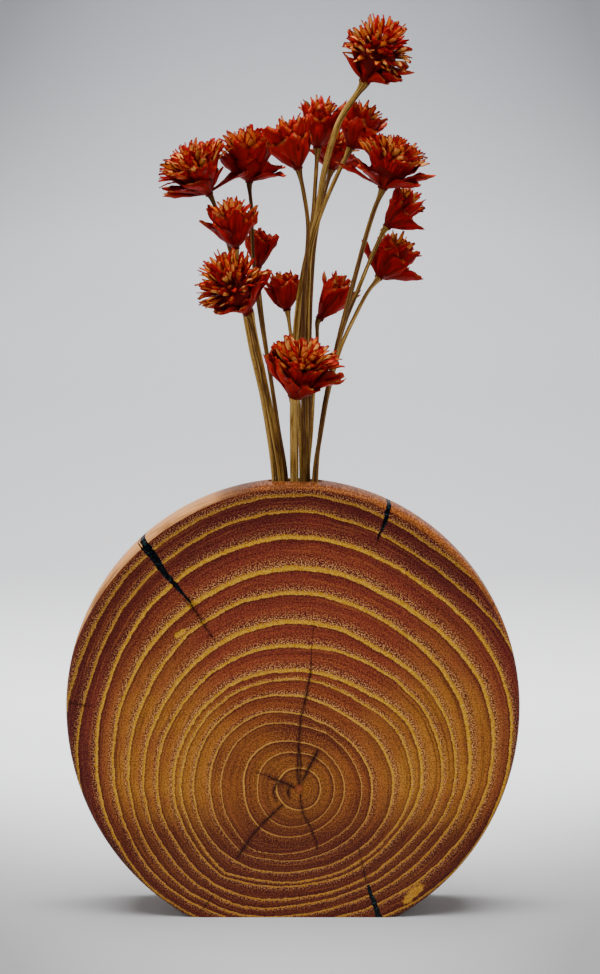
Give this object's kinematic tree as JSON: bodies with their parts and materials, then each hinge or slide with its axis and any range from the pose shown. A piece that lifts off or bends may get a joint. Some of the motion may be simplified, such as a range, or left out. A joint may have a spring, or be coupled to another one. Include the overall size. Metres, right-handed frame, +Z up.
{
  "type": "disc vase",
  "caption": "Round slice of a log standing on a flat foot, bored from the top for dried flowers, with resin-filled cracks and a removable bunch of flowers.",
  "frame": {"origin": "middle of the flat foot, on the surface that the vase stands on", "axes": "+Z up, the front face with the pictured growth rings looks towards -Y, +X to the right as that face is seen"},
  "size_m": [0.208, 0.0817, 0.4088],
  "materials": {
    "wood": "end grain with yellow and brown growth rings under a clear satin-gloss finish",
    "resin": "blue-black cured resin, polished flush with the wood",
    "stem": "dry straw-brown stem with darker ribs and specks",
    "bloom": "dyed dark-red dried bracts with orange-brown floret tips"
  },
  "bodies": {
    "vase": {"disc_body": "wood", "resin_upper_left": "resin", "resin_upper_right": "resin", "resin_foot": "resin"},
    "bunch": {"stem_01": "stem", "bloom_01": "bloom", "stem_02": "stem", "bloom_02": "bloom", "stem_03": "stem", "bloom_03": "bloom", "stem_04": "stem", "bloom_04": "bloom", "stem_05": "stem", "bloom_05": "bloom", "stem_06": "stem", "bloom_06": "bloom", "stem_07": "stem", "bloom_07": "bloom", "stem_08": "stem", "bloom_08": "bloom", "stem_09": "stem", "bloom_09": "bloom", "stem_10": "stem", "bloom_10": "bloom", "stem_11": "stem", "bloom_11": "bloom", "stem_12": "stem", "bloom_12": "bloom", "stem_13": "stem", "bloom_13": "bloom", "stem_14": "stem", "bloom_14": "bloom", "stem_15": "stem", "bloom_15": "bloom", "stem_16": "stem", "bloom_16": "bloom"}
  },
  "joints": [
    {"name": "bunch_lift", "type": "slide", "parent": "vase", "child": "bunch", "axis": [0, 0, 1], "range_m": [0, 0.1]}
  ]
}
